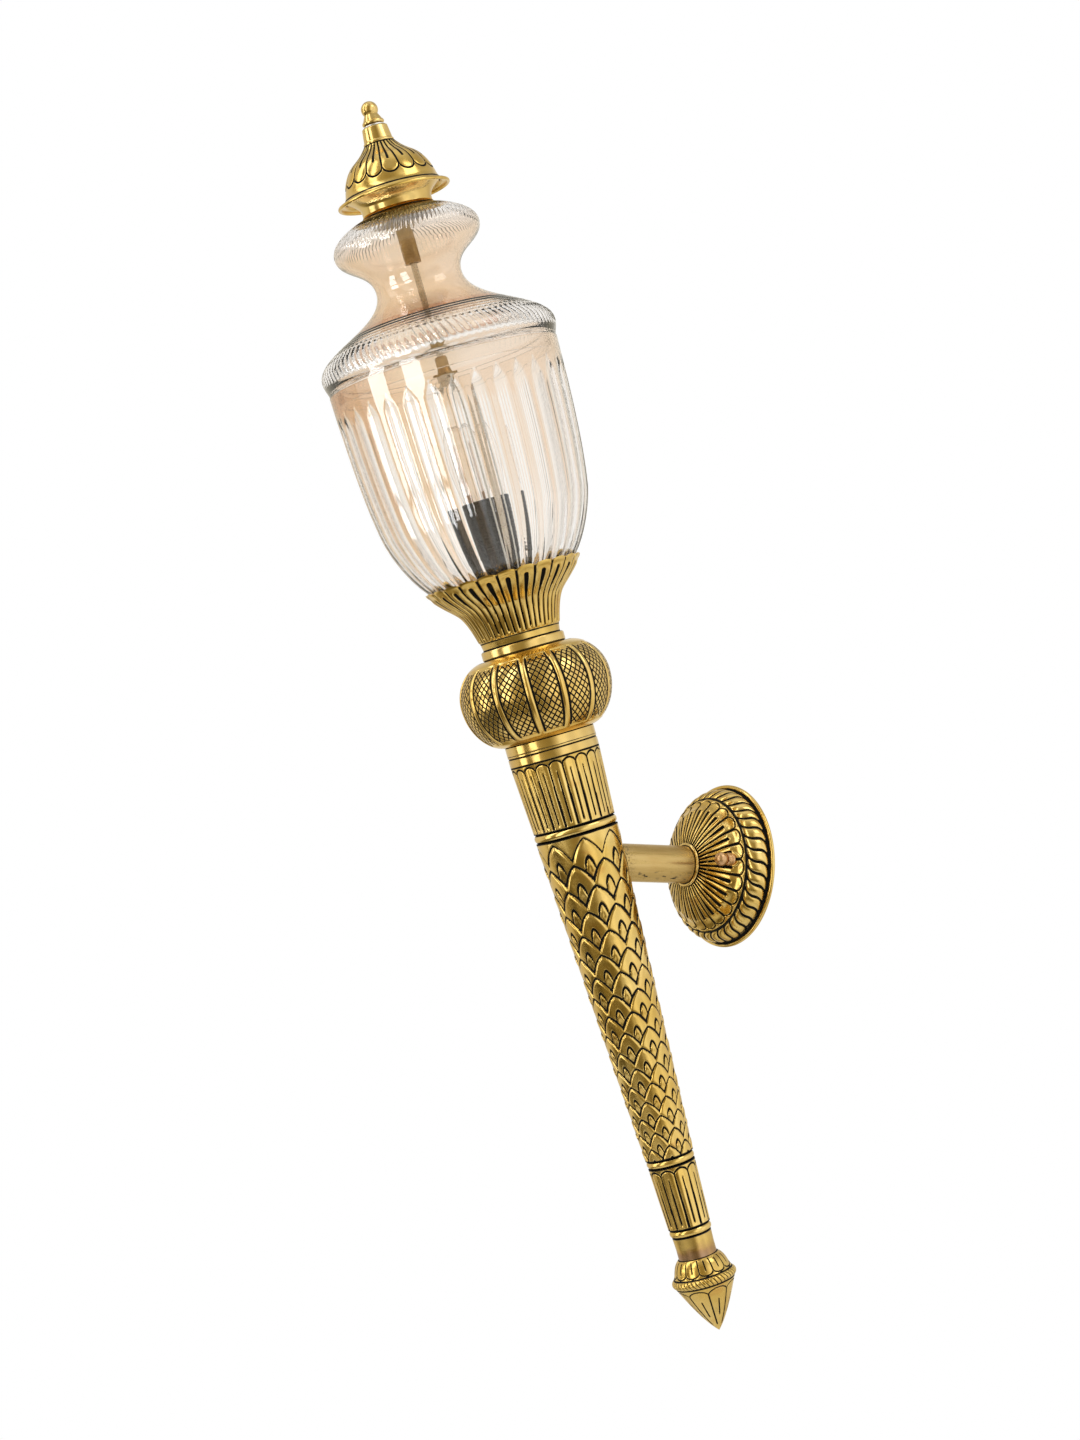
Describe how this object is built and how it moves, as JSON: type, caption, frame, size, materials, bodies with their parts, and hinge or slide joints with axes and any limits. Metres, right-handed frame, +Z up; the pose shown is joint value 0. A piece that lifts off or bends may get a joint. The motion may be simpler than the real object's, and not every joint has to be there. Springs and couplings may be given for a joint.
{
  "type": "torch wall sconce",
  "caption": "Torch-shaped brass wall light on a straight arm: fluted amber glass bowl in a petal cup, waisted glass lid, petal cap, scaled tapering shaft.",
  "frame": {"origin": "centre of the back plate's flat back, on the wall", "axes": "+Y into the wall, +Z up, the arm runs along -Y"},
  "size_m": [0.1444, 0.2667, 0.7296],
  "materials": {
    "antique_brass": "antiqued cast brass, dark patina in the recesses, rubbed bright on the high points",
    "polished_brass": "lightly polished brass",
    "plain_brass": "machined brass",
    "raw_brass": "brushed brass tube with pits and flux marks",
    "heated_brass": "brass darkened by heat",
    "plated_steel": "zinc plated",
    "pale_washer": "plain",
    "amber_glass": "clear glass with amber lustre, flutes cut through to clear",
    "clear_glass": "clear",
    "filament": "coated filament strip",
    "black_plastic": "moulded, threaded skirt",
    "pale_plastic": "moulded",
    "felt": "pressed felt",
    "cable": "sheathed flex"
  },
  "bodies": {
    "root": {"bowl_gasket": "felt", "bowl_seat": "plain_brass", "tie_rod": "plated_steel", "harp": "plated_steel", "harp_saddle": "plated_steel", "claw_washer": "plain_brass", "rod_nut": "plain_brass", "rod_locknut": "plated_steel", "holder_skirt": "black_plastic", "holder_cap": "black_plastic", "holder_shell": "plain_brass", "holder_contact": "pale_plastic", "holder_nut": "plain_brass", "petal_cup": "antique_brass", "seat_spacer": "plain_brass", "cup_ring": "antique_brass", "knop": "antique_brass", "stem_collar": "polished_brass", "upper_band": "antique_brass", "upper_bead": "antique_brass", "scale_shaft": "antique_brass", "lower_bead": "antique_brass", "lower_band": "antique_brass", "tail_bead": "antique_brass", "tail_neck": "heated_brass", "tail_finial": "antique_brass", "stem_tube": "plain_brass", "arm_tube": "raw_brass", "arm_collar": "antique_brass", "arm_nut": "plain_brass", "back_plate": "antique_brass", "wall_bracket": "plated_steel", "studs": "plated_steel", "ball_nuts": "polished_brass", "terminal_block": "pale_plastic", "earth_screw": "plain_brass", "lamp_lead": "cable"},
    "bowl": {"glass_bowl": "amber_glass"},
    "lid": {"glass_lid": "amber_glass", "lid_washer": "felt", "lid_nut": "plain_brass", "lid_nipple": "plain_brass", "cap_seat": "polished_brass", "seat_nut": "plain_brass", "cap_dome": "antique_brass", "cap_collar": "antique_brass", "finial_washer": "pale_washer"},
    "finial": {"finial_ball": "polished_brass"},
    "bulb": {"bulb_globe": "clear_glass", "bulb_cap": "plated_steel", "bulb_filament": "filament"}
  },
  "joints": [
    {"name": "bowl_lift", "type": "slide", "parent": "root", "child": "bowl", "axis": [0, -0.2924, 0.9563], "range_m": [0, 0.305]},
    {"name": "lid_lift", "type": "slide", "parent": "bowl", "child": "lid", "axis": [0, -0.2924, 0.9563], "range_m": [0, 0.17]},
    {"name": "finial_turn", "type": "hinge", "parent": "lid", "child": "finial", "pos_m": [0, -0.105, 0], "axis": [0, -0.2924, 0.9563], "range_deg": [0, 1800]},
    {"name": "bulb_turn", "type": "hinge", "parent": "root", "child": "bulb", "pos_m": [0, -0.105, 0], "axis": [0, -0.2924, 0.9563], "range_deg": [0, 1080]}
  ]
}
